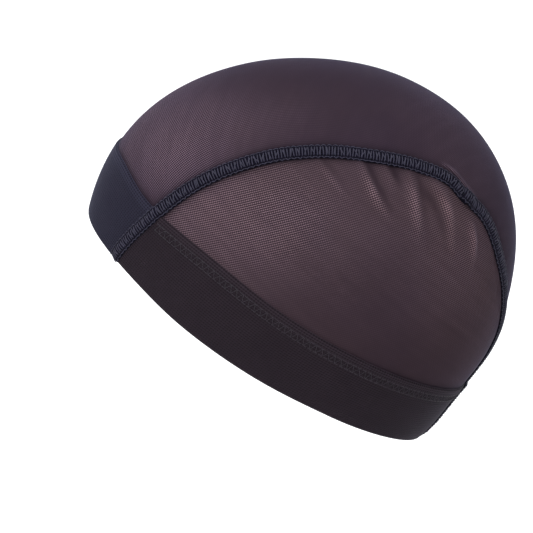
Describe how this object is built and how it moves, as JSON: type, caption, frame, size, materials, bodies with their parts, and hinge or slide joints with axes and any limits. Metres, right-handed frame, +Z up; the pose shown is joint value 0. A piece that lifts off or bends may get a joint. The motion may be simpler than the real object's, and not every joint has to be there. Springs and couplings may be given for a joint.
{
  "type": "wig cap",
  "caption": "Dome wig cap of stretch mesh with a wide elastic band and a raised overlock seam over each side of the head, in its worn form.",
  "frame": {"origin": "middle of the opening that the head goes into, on the rim's plane", "axes": "+Z up as worn, +X to the wearer's left, the forehead faces -Y and the rim slopes down to the nape at +Y"},
  "size_m": [0.1522, 0.1876, 0.1674],
  "materials": {
    "mesh": "fine stretch mesh, matt, slightly see-through",
    "front_band": "double stretch knit, matt blue-black",
    "side_band": "double stretch knit, matt brown-black",
    "seam": "overlock thread, soft sheen"
  },
  "bodies": {
    "root": {"crown_panel": "mesh", "side_panel_left": "mesh", "side_panel_right": "mesh", "front_band": "front_band", "side_band_left": "side_band", "side_band_right": "side_band", "nape_band": "side_band", "seam_left": "seam", "seam_right": "seam"}
  },
  "joints": []
}
